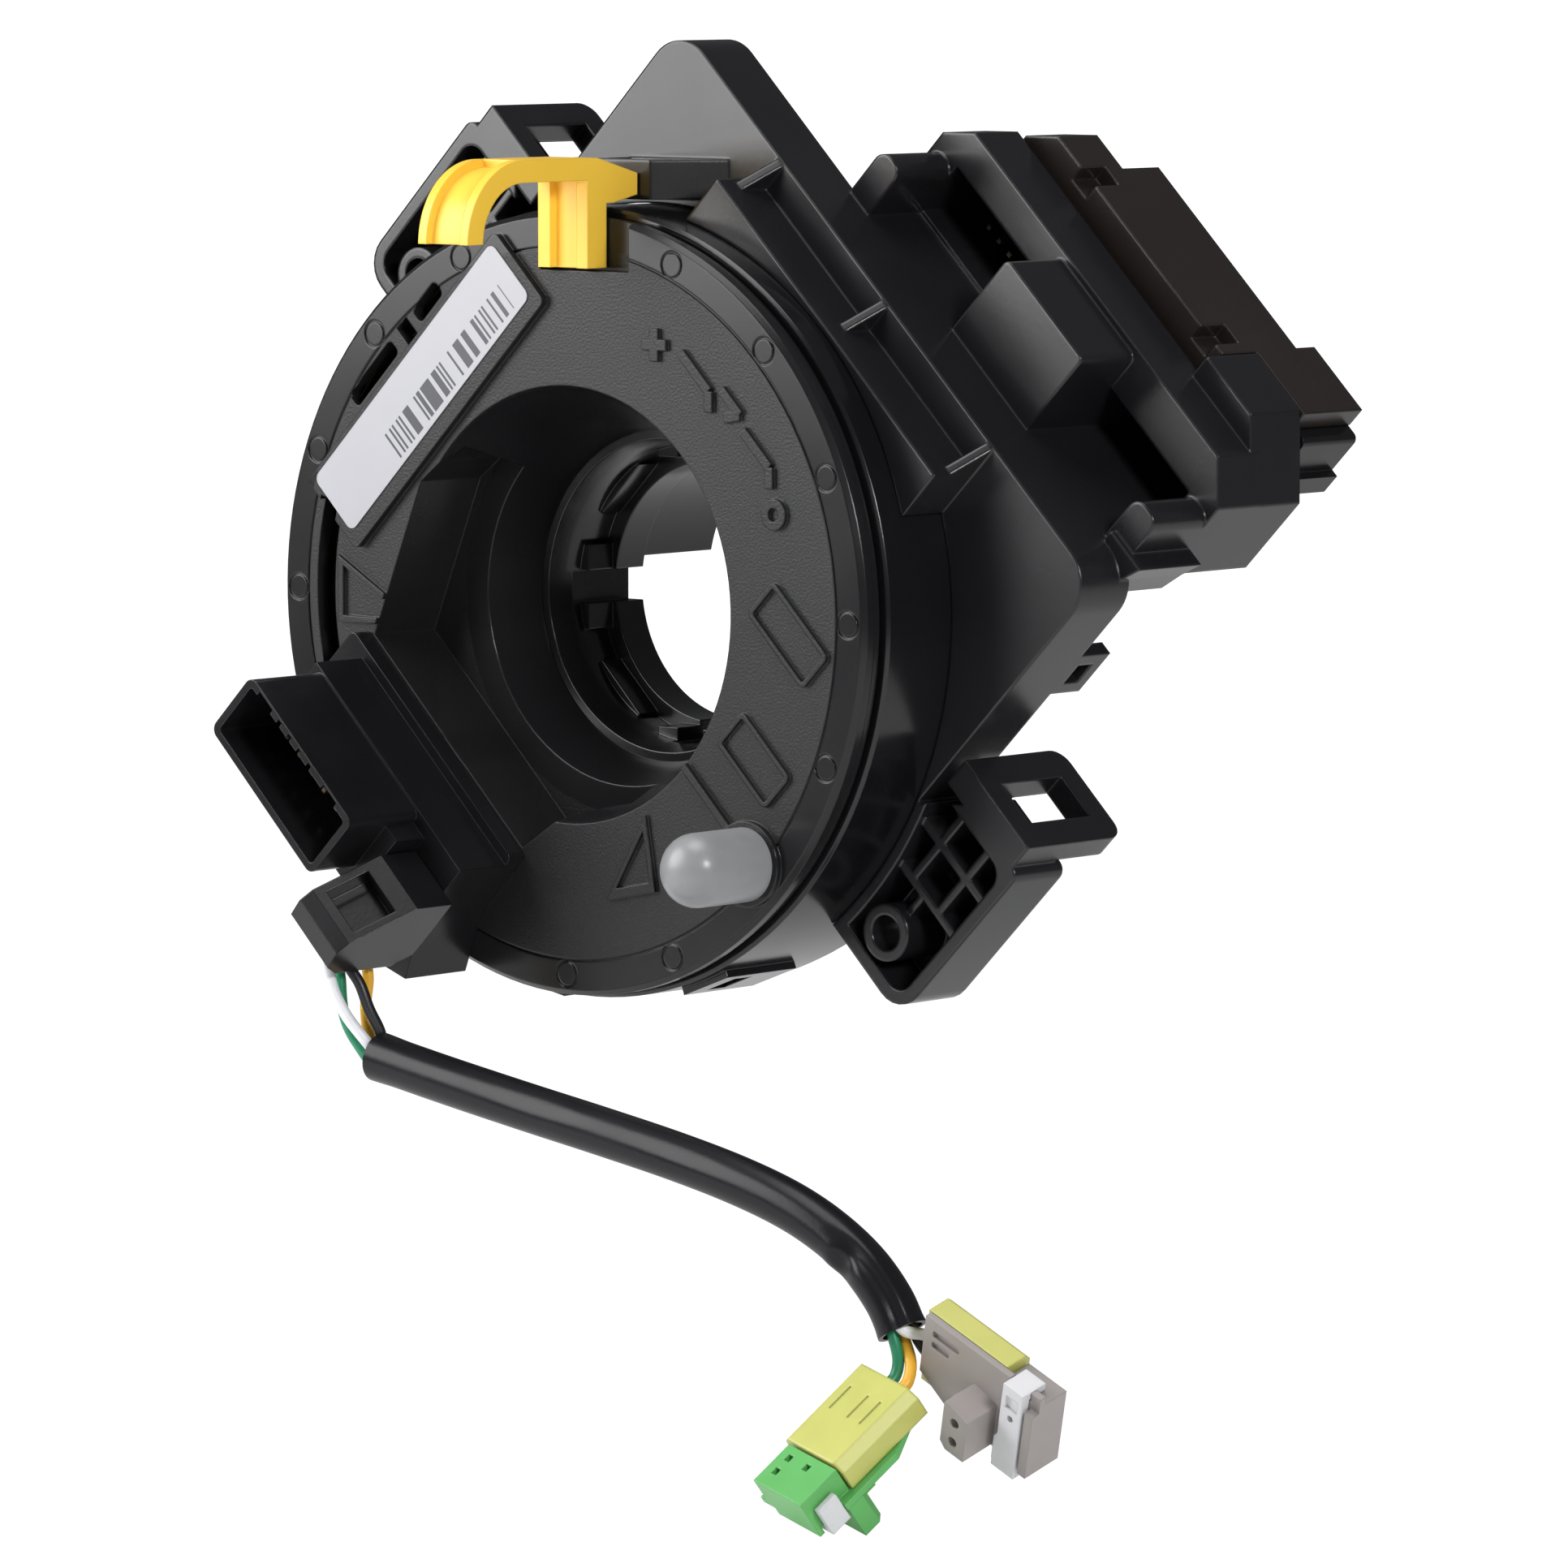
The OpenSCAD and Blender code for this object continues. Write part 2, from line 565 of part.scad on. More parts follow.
module block_cover() color("#1c1c1e") unit() difference() {
    union() {
        slab(lid_y[0], lid_y[1]) block_outline(lid_x[0], lid_x[1], block_top - 2.7, cover_top, 2);
        bar([latch_x[0], lid_x[1]], [lid_y[0] + 4, block_y1 + 9], [cover_top - 3, cover_top]);
        bar([latch_x[1] + 4.5, lid_x[1]], [lid_y[0] + 4, block_y1 + 13], [cover_top - 3, cover_top]);
    }
    for (x = latch_x) bar([x - 0.5, x + 3], [lid_y[0] - 1, lid_y[0] + 5], [cover_top - 2.4, cover_top + 1]);
    bar([end_x0 - gap, lid_x[1] + 1], [lid_y[0] - 1, block_y1 + gap], [block_floor, cover_top + 1]);
}

// Connector for the vehicle's harness, at the back of the block

rear_x = [latch_x[0], lid_x[1]];
rear_z = [block_floor + 2, cover_top - 3.2];

module rear_connector() color("#1b1b1d") unit() difference() {
    union() {
        slab(block_y1 + 0.05, block_y1 + 9) rounded(rear_x, rear_z, 1);
        slab(block_y1 + 0.05, block_y1 + 13) rounded([latch_x[1] + 4.5, rear_x[1] + 2.3], [rear_z[1] - 9.3, rear_z[1]], 1);
        translate([rear_x[1], 0, rear_z[1]]) bar([1.8, 3.5], [block_y1 + 1, block_y1 + 13], [-9.3, -6.2]);
    }
    slab(block_y1 + 2, block_y1 + 14) rounded([rear_x[0] + 1.3, latch_x[1] + 3.5], [rear_z[0] + 1.3, rear_z[1] - 1.3], 0.6);
    slab(block_y1 + 2, block_y1 + 14)
        rounded([latch_x[1] + 5.8, rear_x[1] + 1], [rear_z[1] - 8, rear_z[1] - 1.3], 0.6);
    bar([rear_x[0] - 1, rear_x[1] + 3], [block_y1 - 1, lid_y[1] + gap], [block_top - 3, cover_top]);
}

module rear_pins() color("#c9a86a") unit() {
    for (i = [0 : 9], z = [rear_z[0] + 5, rear_z[1] - 5])
        contact(rear_x[0] + 5 + 2.5 * i, z, block_y1 + 2, block_y1 + 7.5, 0.64);
    for (i = [0 : 3], z = [rear_z[1] - 6.3, rear_z[1] - 3.3])
        contact(latch_x[1] + 7.6 + 2.3 * i, z, block_y1 + 2, block_y1 + 9.5, 0.64);
}

module switch_pins() color("#c9a86a") unit()
    for (x = [-9, -6.5, -4, -1.5], share = [0.3, 0.65])
        contact(x, socket_z[0] + share * (socket_z[1] - socket_z[0]), block_y1 - 11, block_y1 - 3, 0.64);

// Lead: four wires in a sleeve, from the guide to the two squib plugs

sleeve_route = [for (p = [[-16, -61], [-3, -63.2], [11, -65.4], [25, -67.5], [38, -69.6], [49, -71.8],
    [58, -74.3], [65, -77.3], [70.5, -80.8], [74.5, -84.8], [76.8, -88.6]]) [p[0], -20 - frame_y, p[1]]];
// Each plug's corner and turn, in the whole part's frame
plug_a = [[72.2, -20.5 - frame_y, -96.9], [76, 39.5, -111]];
plug_b = [[83.3, -23 - frame_y, -85.5], [22, 26, 2]];
squib_wire_y = 2.6;
squib_wire_za = [-4, -6.6];
squib_wire_zb = [-6.2, -8.8];

function turn_x(p, a) = [p[0], p[1] * cos(a) - p[2] * sin(a), p[1] * sin(a) + p[2] * cos(a)];
function turn_y(p, a) = [p[0] * cos(a) + p[2] * sin(a), p[1], -p[0] * sin(a) + p[2] * cos(a)];
function turn_z(p, a) = [p[0] * cos(a) - p[1] * sin(a), p[0] * sin(a) + p[1] * cos(a), p[2]];
function at_plug(q, p) = q[0] + turn_z(turn_y(turn_x(p, q[1][0]), q[1][1]), q[1][2]);
function along(v) = v / norm(v);
function heading(p, i) = along(p[min(i + 1, len(p) - 1)] - p[max(i - 1, 0)]);
function across(t) = along(cross(t, [0, 1, 0]));
function ring(p, i, r, n) = let (t = heading(p, i), s = across(t), u = cross(s, t))
    [for (k = [0 : n - 1]) p[i] + r * (cos(360 * k / n) * s + sin(360 * k / n) * u)];
function rings(p, r, n) = [for (i = [0 : len(p) - 1]) each ring(p, i, r, n)];
function skin(m, n, base) = [for (i = [0 : m - 2], k = [0 : n - 1])
    [base + i * n + k, base + i * n + (k + 1) % n, base + (i + 1) * n + (k + 1) % n, base + (i + 1) * n + k]];
function flipped(f) = [for (q = f) [q[3], q[2], q[1], q[0]]];

module tube(p, r, n) polyhedron(rings(p, r, n), concat(
    [[for (k = [n - 1 : -1 : 0]) k]], skin(len(p), n, 0), [[for (k = [0 : n - 1]) (len(p) - 1) * n + k]]
));

module hollow_tube(p, r, ri, n) {
    m = len(p);
    o = m * n;
    e = (m - 1) * n;
    polyhedron(concat(rings(p, r, n), rings(p, ri, n)), concat(
        skin(m, n, 0), flipped(skin(m, n, o)),
        [for (k = [0 : n - 1]) [(k + 1) % n, k, o + k, o + (k + 1) % n]],
        [for (k = [0 : n - 1]) [e + k, e + (k + 1) % n, o + e + (k + 1) % n, o + e + k]]
    ));
}

bundle_r = wire_d * 0.84;
function bundle(a) = [for (i = [0 : len(sleeve_route) - 1])
    sleeve_route[i] + bundle_r * (cos(a) * across(heading(sleeve_route, i)) + sin(a) * [0, 1, 0])];
function guide_start(x, y) = [for (z = [guide_z[0] + 2.8, guide_z[0]]) turn_y([x, y - frame_y, z], roll)];
function plug_end(q, z, lead) = [for (x = [-lead, 0, 3]) at_plug(q, [x, squib_wire_y, z])];

route_white = concat(guide_start(18.4, -25), set_back([[-21, -24.5, -50], [-19.5, -23.5, -54.5], [-17.5, -22, -58]]),
    bundle(315), plug_end(plug_b, squib_wire_zb[0], 1.5));
route_black = concat(guide_start(18.8, -21.6), set_back([[-18.5, -21, -51.5], [-17.5, -20.5, -54.5], [-16.5, -19.5, -57.5]]),
    bundle(45), plug_end(plug_b, squib_wire_zb[1], 1.5));
route_green = concat(guide_start(15.6, -21.5), set_back([[-22, -21.5, -50], [-21, -21.5, -56], [-18.5, -21, -60]]),
    bundle(225), plug_end(plug_a, squib_wire_za[0], 2.5));
route_yellow = concat(guide_start(18.8, -17.6), set_back([[-20.5, -17.5, -51], [-20.5, -18, -55], [-19, -18.5, -59.5]]),
    bundle(135), plug_end(plug_a, squib_wire_za[1], 2.5));

module lead_sleeve() color("#17171a") hollow_tube(sleeve_route, sleeve_od / 2, sleeve_id / 2, 12);
module wire_white() color("#e8e9ee") tube(route_white, wire_d / 2, 8);
module wire_green() color("#2f8f4e") tube(route_green, wire_d / 2, 8);
module wire_black() color("#1c1a20") tube(route_black, wire_d / 2, 8);
module wire_yellow() color("#e0a92e") tube(route_yellow, wire_d / 2, 8);

// Squib plugs: X along the body from the wires' end, nose towards -Y, cover on the back

squib_cover_len = 13.6;
squib_low = -squib_wide - 1;
// Nose, lock and tip of each plug: from, to, from, to, low side
form_a = [[12.2, 15.8], [16.6, 19.4], -squib_wide + 0.6];
form_b = [[9.4, 13.6], [15.3, 18.8], squib_low];

module placed(q) translate(q[0]) rotate(q[1]) children();

module squib_body(wires, form) {
    nose = form[0];
    strip = form[1];
    tip = form[2];
    difference() {
        union() {
            slab(0, 1) polygon([[0, 0], [squib_len, 0], [squib_len, tip], [nose[1] + 0.3, tip],
                [nose[1] + 0.3, squib_low], [6.5, squib_low], [0, squib_low + 3.5]]);
            bar([0.8, squib_cover_len - 1.4], [bite, squib_thick - 0.9], [-squib_wide + 1.4, -1.4]);
            bar([squib_cover_len + 0.3, squib_len], [0, squib_thick], [tip, -1.3]);
            bar([strip[1] + 0.4, squib_len], [-1.2, squib_thick], [tip, -2.4]);
            slab(-squib_nose, bite) polygon([[nose[0], -5], [nose[1], -6], [nose[1], squib_low + 0.4],
                [nose[0] + 1, squib_low + 0.4], [nose[0], squib_low + 1.4]]);
            bar([nose[0] - 1.8, nose[0] + bite], [-2, bite], [-11, -7.5]);
        }
        for (z = wires) translate([0, squib_wire_y, z]) side(-1, 4) circle(wire_d / 2 + 0.2);
        for (z = [-7.4, -10.6]) translate([(nose[0] + nose[1]) / 2, 0, z]) disc(0.75, -squib_nose - 1, -0.5);
        for (q = [[15.6, -3.2], [18, -3.2], [15.6, -7]]) contact(q[0], q[1], squib_thick - 2, squib_thick + 1, 1);
        bar([strip[0] + 0.4, strip[0] + 2.4], [-1, 2.4], [-10, -7.6]);
        bar(strip + [-0.15, 0.15], [-1, 1.1], [-1.25, 1]);
        slab(-1, 0.5) rounded([1.5, 6.2], [-2.6, -1.6], 0.3);
        slab(-1, 0.5) rounded([1.5, 4.6], [-4.4, -3.4], 0.3);
    }
}

module squib_cover(wires) difference() {
    side(-0.5, squib_cover_len) polygon([[1.1, 0], [squib_thick - 0.4, 0], [squib_thick + 0.4, -0.8],
        [squib_thick + 0.4, -squib_wide + 1.4], [squib_thick - 1, -squib_wide], [1.1, -squib_wide]]);
    bar([0.6, squib_cover_len - 1.1], [1, squib_thick - 0.7], [-squib_wide + 1.1, -1.1]);
    bar([-1, 1], [1, squib_wire_y + 1.1], [wires[1] - 1.2, wires[0] + 1.2]);
    for (z = [-2.4, -6.2, -8.8]) bar([3, 7], [squib_thick + 0.15, squib_thick + 1], [z - 0.15, z + 0.15]);
}

module squib_lock(form) {
    strip = form[1];
    tip = form[2];
    difference() {
        union() {
            slab(-1.4, -0.1) polygon([[strip[0], -0.2], [strip[1], -0.2], [strip[1], tip - 0.3],
                [strip[0] - 0.5, tip - 0.3], [strip[0] - 0.5, -9.4], [strip[0], -8.6]]);
            bar(strip, [-1.4, 2.8], [-1.1, 0]);
            bar(strip + [-0.4, 0], [-1.4, 3], [tip - 1.3, tip - 0.2]);
            bar([strip[0] + 0.6, strip[0] + 2.2], [-1, 2.1], [-9.7, -7.9]);
        }
        translate([strip[0] + 1.8, 0, -5]) disc(0.5, -2, 0.2);
        bar([strip[0] + 0.7, strip[1] - 0.7], [-2, -1], [-3.6, -1.6]);
    }
}

module squib_plug_a() color("#4cb35a") placed(plug_a) squib_body(squib_wire_za, form_a);
module squib_cover_a() color("#dcd974") placed(plug_a) squib_cover(squib_wire_za);
module squib_lock_a() color("#cfd0d0") placed(plug_a) squib_lock(form_a);
module squib_plug_b() color("#8f8884") placed(plug_b) squib_body(squib_wire_zb, form_b);
module squib_cover_b() color("#dcd974") placed(plug_b) squib_cover(squib_wire_zb);
module squib_lock_b() color("#e0e0e2") placed(plug_b) squib_lock(form_b);

rotor_disc();
rotor_sleeve();
connector_housing();
connector_pins();
wire_guide();
label();
locating_cap();
shipping_lock();
cable_case();
flat_cable();
case_rear_cover();
switch_body();
block_cover();
rear_connector();
rear_pins();
switch_pins();
lead_sleeve();
wire_white();
wire_green();
wire_black();
wire_yellow();
squib_plug_a();
squib_cover_a();
squib_lock_a();
squib_plug_b();
squib_cover_b();
squib_lock_b();
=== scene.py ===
import math

import bmesh
import bpy
from mathutils import Euler, Matrix, Vector


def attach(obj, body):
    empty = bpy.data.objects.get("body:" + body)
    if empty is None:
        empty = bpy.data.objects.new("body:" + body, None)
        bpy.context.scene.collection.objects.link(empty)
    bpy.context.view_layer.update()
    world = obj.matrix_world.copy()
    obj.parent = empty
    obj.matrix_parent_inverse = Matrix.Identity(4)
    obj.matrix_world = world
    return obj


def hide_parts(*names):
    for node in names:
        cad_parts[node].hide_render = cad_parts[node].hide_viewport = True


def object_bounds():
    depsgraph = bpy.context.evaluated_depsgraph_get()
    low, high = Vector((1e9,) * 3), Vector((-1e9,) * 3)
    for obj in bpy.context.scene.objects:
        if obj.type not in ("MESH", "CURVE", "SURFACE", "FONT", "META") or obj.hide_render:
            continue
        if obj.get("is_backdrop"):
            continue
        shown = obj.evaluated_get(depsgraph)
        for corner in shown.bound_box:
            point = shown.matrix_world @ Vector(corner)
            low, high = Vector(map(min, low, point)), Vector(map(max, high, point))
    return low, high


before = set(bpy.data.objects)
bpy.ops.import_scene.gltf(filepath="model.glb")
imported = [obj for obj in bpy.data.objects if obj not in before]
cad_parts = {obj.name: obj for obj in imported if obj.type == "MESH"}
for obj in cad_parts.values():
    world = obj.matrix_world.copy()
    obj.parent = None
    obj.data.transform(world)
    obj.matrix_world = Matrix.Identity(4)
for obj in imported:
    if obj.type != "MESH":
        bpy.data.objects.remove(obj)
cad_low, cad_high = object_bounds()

# --- Camera ---
# The photograph was taken from the right of the rotor's face and a little above it,
# with a long lens, so the part shows almost no perspective.
mm = 0.001
camera_azimuth = math.radians(41.05)
camera_elevation = math.radians(5.73)
camera_distance = 1.2
camera_aim = Vector((0.0238, 0.0006, -0.0241))
camera_back = Vector((
    math.sin(camera_azimuth) * math.cos(camera_elevation),
    -math.cos(camera_azimuth) * math.cos(camera_elevation),
    math.sin(camera_elevation),
))
bpy.ops.object.camera_add(
    location=camera_aim + camera_distance * camera_back,
    rotation=(math.pi / 2 - camera_elevation, 0, camera_azimuth),
)
camera = bpy.context.object
camera.data.lens = 203.8
camera.data.sensor_width = 36
camera.data.clip_start = 0.01
bpy.context.scene.camera = camera


# --- Wires of the lead ---
# Four stranded copper wires in PVC, drawn out of the guide under the rotor's connector.
# They pass through the sleeve together, and part in pairs to the two squib plugs.
ears_depth = 17 * mm
unit_turn = Matrix.Rotation(math.radians(45), 3, "Y")
wire_width = 1.6 * mm
bundle_radius = 0.84 * wire_width
guide_floor = -48 * mm
sleeve_depth = -37 * mm
sleeve_line = [
    Vector((x * mm, sleeve_depth, z * mm)) for x, z in (
        (-16, -61), (-3, -63.2), (11, -65.4), (25, -67.5), (38, -69.6), (49, -71.8),
        (58, -74.3), (65, -77.3), (70.5, -80.8), (74.5, -84.8), (76.8, -88.6),
    )
]
hidden_length = 2.8 * mm
plug_wire_height = 2.6 * mm
plug_wire_depth = 3
# each plug's corner, and its turn about x, y and z
green_plug = (
    Vector((72.2, -37.5, -96.9)) * mm, Euler([math.radians(a) for a in (76, 39.5, -111)]),
)
grey_plug = (
    Vector((83.3, -40, -85.5)) * mm, Euler([math.radians(a) for a in (22, 26, 2)]),
)


def heading(line, i):
    return (line[min(i + 1, len(line) - 1)] - line[max(i - 1, 0)]).normalized()


def across(direction):
    return direction.cross(Vector((0, 1, 0))).normalized()


def in_guide(x, depth):
    """The wire's first two points, inside the guide's floor."""
    return [
        unit_turn @ Vector((x * mm, depth * mm - ears_depth, z))
        for z in (guide_floor + hidden_length, guide_floor)
    ]


def below_guide(*points):
    """Points in the open, between the guide and the sleeve's mouth."""
    return [Vector((x * mm, y * mm - ears_depth, z * mm)) for x, y, z in points]


def in_sleeve(angle):
    """The wire's place in the bundle, along the sleeve's own line."""
    a = math.radians(angle)
    return [
        p + bundle_radius * (
            math.cos(a) * across(heading(sleeve_line, i)) + math.sin(a) * Vector((0, 1, 0))
        )
        for i, p in enumerate(sleeve_line)
    ]


def into_plug(plug, row, lead):
    """The last three points, straight into the plug's back beside the given row."""
    corner, turn = plug
    return [
        corner + turn.to_matrix() @ Vector((x * mm, plug_wire_height, row * mm))
        for x in (-lead, 0, plug_wire_depth)
    ]


wire_routes = {
    "white": (
        in_guide(18.4, -25)
        + below_guide((-21, -24.5, -50), (-19.5, -23.5, -54.5), (-17.5, -22, -58))
        + in_sleeve(315) + into_plug(grey_plug, -6.2, 1.5)
    ),
    "black": (
        in_guide(18.8, -21.6)
        + below_guide((-18.5, -21, -51.5), (-17.5, -20.5, -54.5), (-16.5, -19.5, -57.5))
        + in_sleeve(45) + into_plug(grey_plug, -8.8, 1.5)
    ),
    "green": (
        in_guide(15.6, -21.5)
        + below_guide((-22, -21.5, -50), (-21, -21.5, -56), (-18.5, -21, -60))
        + in_sleeve(225) + into_plug(green_plug, -4, 2.5)
    ),
    "yellow": (
        in_guide(18.8, -17.6)
        + below_guide((-20.5, -17.5, -51), (-20.5, -18, -55), (-19, -18.5, -59.5))
        + in_sleeve(135) + into_plug(green_plug, -6.6, 2.5)
    ),
}
wire_colours = {
    "white": (0.78, 0.79, 0.82),
    "green": (0.012, 0.21, 0.10),
    "black": (0.012, 0.012, 0.014),
    "yellow": (0.80, 0.42, 0.03),
}


def new_material(name, colour, roughness):
    material = bpy.data.materials.new(name)
    material.use_nodes = True
    shader = material.node_tree.nodes["Principled BSDF"]
    shader.inputs["Base Color"].default_value = (*colour, 1)
    shader.inputs["Roughness"].default_value = roughness
    return material, material.node_tree, shader


def add_node(tree, kind, **settings):
    node = tree.nodes.new(kind)
    for key, value in settings.items():
        setattr(node, key, value)
    return node


def mottle_group():
    """Soft light and dark patches and a fine grain, both from the place on the piece."""
    group = bpy.data.node_groups.new("plastic mottle", "ShaderNodeTree")
    for name in ("Patch Size", "Grain Size"):
        group.interface.new_socket(name, in_out="INPUT", socket_type="NodeSocketFloat")
    for name in ("Patches", "Grain"):
        group.interface.new_socket(name, in_out="OUTPUT", socket_type="NodeSocketFloat")
    put = group.nodes.new("NodeGroupInput")
    out = group.nodes.new("NodeGroupOutput")
    place = group.nodes.new("ShaderNodeTexCoord")
    for size, result, detail in (("Patch Size", "Patches", 3.0), ("Grain Size", "Grain", 2.0)):
        noise = group.nodes.new("ShaderNodeTexNoise")
        noise.inputs["Detail"].default_value = detail
        scaled = add_node(group, "ShaderNodeVectorMath", operation="SCALE")
        inverse = add_node(group, "ShaderNodeMath", operation="DIVIDE")
        inverse.inputs[0].default_value = 1.0
        group.links.new(put.outputs[size], inverse.inputs[1])
        group.links.new(place.outputs["Object"], scaled.inputs[0])
        group.links.new(inverse.outputs[0], scaled.inputs["Scale"])
        group.links.new(scaled.outputs[0], noise.inputs["Vector"])
        noise.inputs["Scale"].default_value = 1.0
        group.links.new(noise.outputs["Fac"], out.inputs[result])
    return group


mottle = mottle_group()


def varied_plastic(name, colour, roughness, patch=12 * mm, grain=0.35 * mm, depth=0.02 * mm,
                   spread=0.12, shade=0.25, edge=0, specular=0.5):
    """A plastic whose roughness and colour drift a little, with a fine moulded grain."""
    material, tree, shader = new_material(name, colour, roughness)
    shader.inputs["Specular IOR Level"].default_value = specular
    marks = add_node(tree, "ShaderNodeGroup", node_tree=mottle)
    marks.inputs["Patch Size"].default_value = patch
    marks.inputs["Grain Size"].default_value = grain
    rough = add_node(tree, "ShaderNodeMapRange")
    rough.inputs["To Min"].default_value = roughness - spread
    rough.inputs["To Max"].default_value = roughness + spread
    tint = add_node(tree, "ShaderNodeMix", data_type="RGBA")
    tint.inputs["A"].default_value = (*[c * (1 - shade) for c in colour], 1)
    tint.inputs["B"].default_value = (*[min(1, c * (1 + shade)) for c in colour], 1)
    bump = add_node(tree, "ShaderNodeBump")
    bump.inputs["Distance"].default_value = depth
    tree.links.new(marks.outputs["Patches"], rough.inputs["Value"])
    tree.links.new(marks.outputs["Patches"], tint.inputs["Factor"])
    tree.links.new(marks.outputs["Grain"], bump.inputs["Height"])
    tree.links.new(rough.outputs["Result"], shader.inputs["Roughness"])
    tree.links.new(tint.outputs["Result"], shader.inputs["Base Color"])
    tree.links.new(bump.outputs["Normal"], shader.inputs["Normal"])
    if edge:
        rounding = add_node(tree, "ShaderNodeBevel", samples=8)
        rounding.inputs["Radius"].default_value = edge
        tree.links.new(rounding.outputs["Normal"], bump.inputs["Normal"])
    return material


for colour_name, route in wire_routes.items():
    curve = bpy.data.curves.new(f"{colour_name}_wire", "CURVE")
    curve.dimensions = "3D"
    curve.bevel_depth = wire_width / 2
    curve.bevel_resolution = 4
    curve.resolution_u = 8
    curve.use_fill_caps = True
    spline = curve.splines.new("BEZIER")
    spline.bezier_points.add(len(route) - 1)
    for knot, point in zip(spline.bezier_points, route):
        knot.co = point
        knot.handle_left_type = knot.handle_right_type = "AUTO"
    wire = bpy.data.objects.new(f"{colour_name}_wire", curve)
    bpy.context.scene.collection.objects.link(wire)
    curve.materials.append(varied_plastic(
        f"{colour_name} insulation", wire_colours[colour_name], 0.38,
        patch=6 * mm, grain=0.25 * mm, depth=0.01 * mm, spread=0.08, shade=0.08,
    ))
    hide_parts(f"wire_{colour_name}")
    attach(wire, "rotor")


# --- Sleeve over the wires ---
# A soft black vinyl tube, cut square at both ends and slipped over the four wires.
# It is pinched where it turns down to the plugs, and a fold runs on from the pinch.
sleeve_radius = 3.25 * mm
sleeve_wall = 0.6 * mm
sleeve_sides = 48
rings_per_span = 12
sleeve_crease = math.radians(50)


def smooth_line(points, per_span):
    """Points on a smooth curve through the given ones."""
    ends = [2 * points[0] - points[1], *points, 2 * points[-1] - points[-2]]
    line = []
    for a, b, c, d in zip(ends, ends[1:], ends[2:], ends[3:]):
        for k in range(per_span):
            t = k / per_span
            line.append(0.5 * (
                2 * b + (c - a) * t + (2 * a - 5 * b + 4 * c - d) * t ** 2
                + (3 * b - a - 3 * c + d) * t ** 3
            ))
    return line + [points[-1]]


def bell(value, centre, width):
    return math.exp(-((value - centre) / width) ** 2)


def sleeve_shape(along, turn):
    """How far the skin stands out from its round shape.

    The place along the tube runs from 0 to 1, and the turn round it is in degrees.
    Each form is a depth, with the middle and the reach of its bell.
    """
    pinch = -1.0 * mm * bell(along, 0.775, 0.03) * bell(turn, 262, 34)
    lip = 0.28 * mm * bell(along, 0.745, 0.022) * bell(turn, 250, 40)
    fold = -0.5 * mm * bell(turn, 306, 13) * min(1, max(0, (along - 0.7) / 0.08))
    ridge = 0.18 * mm * bell(turn, 332, 14) * min(1, max(0, (along - 0.72) / 0.1))
    flat = -0.16 * mm * math.cos(2 * math.radians(turn)) * min(1, max(0, (along - 0.6) / 0.3))
    sag = -0.2 * mm * bell(turn, 300, 28) * (bell(along, 0.42, 0.1) + bell(along, 0.22, 0.06))
    mouth = 0.12 * mm * (bell(along, 0, 0.02) + bell(along, 1, 0.02))
    return pinch + lip + fold + ridge + flat + sag + mouth


sleeve_centres = smooth_line(sleeve_line, rings_per_span)
last_ring = len(sleeve_centres) - 1
sleeve_mesh = bpy.data.meshes.new("lead_sleeve_tube")
sleeve_bm = bmesh.new()
skins = {}
for skin, inset in (("outer", 0), ("inner", sleeve_wall)):
    skins[skin] = []
    for i, centre in enumerate(sleeve_centres):
        up = across(heading(sleeve_centres, i))
        side = up.cross(heading(sleeve_centres, i))
        if side.y < 0:
            side = -side
        skins[skin].append([
            sleeve_bm.verts.new(centre + (
                sleeve_radius - inset + sleeve_shape(i / last_ring, 360 * k / sleeve_sides)
            ) * (
                math.cos(math.tau * k / sleeve_sides) * up
                + math.sin(math.tau * k / sleeve_sides) * side
            ))
            for k in range(sleeve_sides)
        ])
for rings in skins.values():
    for low, high in zip(rings, rings[1:]):
        for k in range(sleeve_sides):
            j = (k + 1) % sleeve_sides
            sleeve_bm.faces.new((low[k], low[j], high[j], high[k]))
for end in (0, -1):
    for k in range(sleeve_sides):
        j = (k + 1) % sleeve_sides
        sleeve_bm.faces.new((
            skins["outer"][end][k], skins["outer"][end][j],
            skins["inner"][end][j], skins["inner"][end][k],
        ))
bmesh.ops.recalc_face_normals(sleeve_bm, faces=sleeve_bm.faces)
sleeve_bm.to_mesh(sleeve_mesh)
sleeve_bm.free()
sleeve = bpy.data.objects.new("lead_sleeve_tube", sleeve_mesh)
bpy.context.scene.collection.objects.link(sleeve)


def pick(piece):
    """Makes one piece the only one that operators act on."""
    bpy.ops.object.select_all(action="DESELECT")
    piece.select_set(True)
    bpy.context.view_layer.objects.active = piece


pick(sleeve)
bpy.ops.object.shade_smooth_by_angle(angle=sleeve_crease)
sleeve_mesh.materials.append(varied_plastic(
    "sleeve vinyl", (0.009, 0.009, 0.011), 0.3,
    patch=9 * mm, grain=0.6 * mm, depth=0.015 * mm, spread=0.06, shade=0.15, specular=0.22,
))
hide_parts("lead_sleeve")
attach(sleeve, "rotor")


# --- Cable case and its rear cover ---
# The case is a ring moulded in glossy black plastic, with latches round its lower half.
# The rear cover snaps into its back and carries the hub that the rotor's sleeve turns in.
same_point = 0.002 * mm
sharp_edge = math.radians(20)


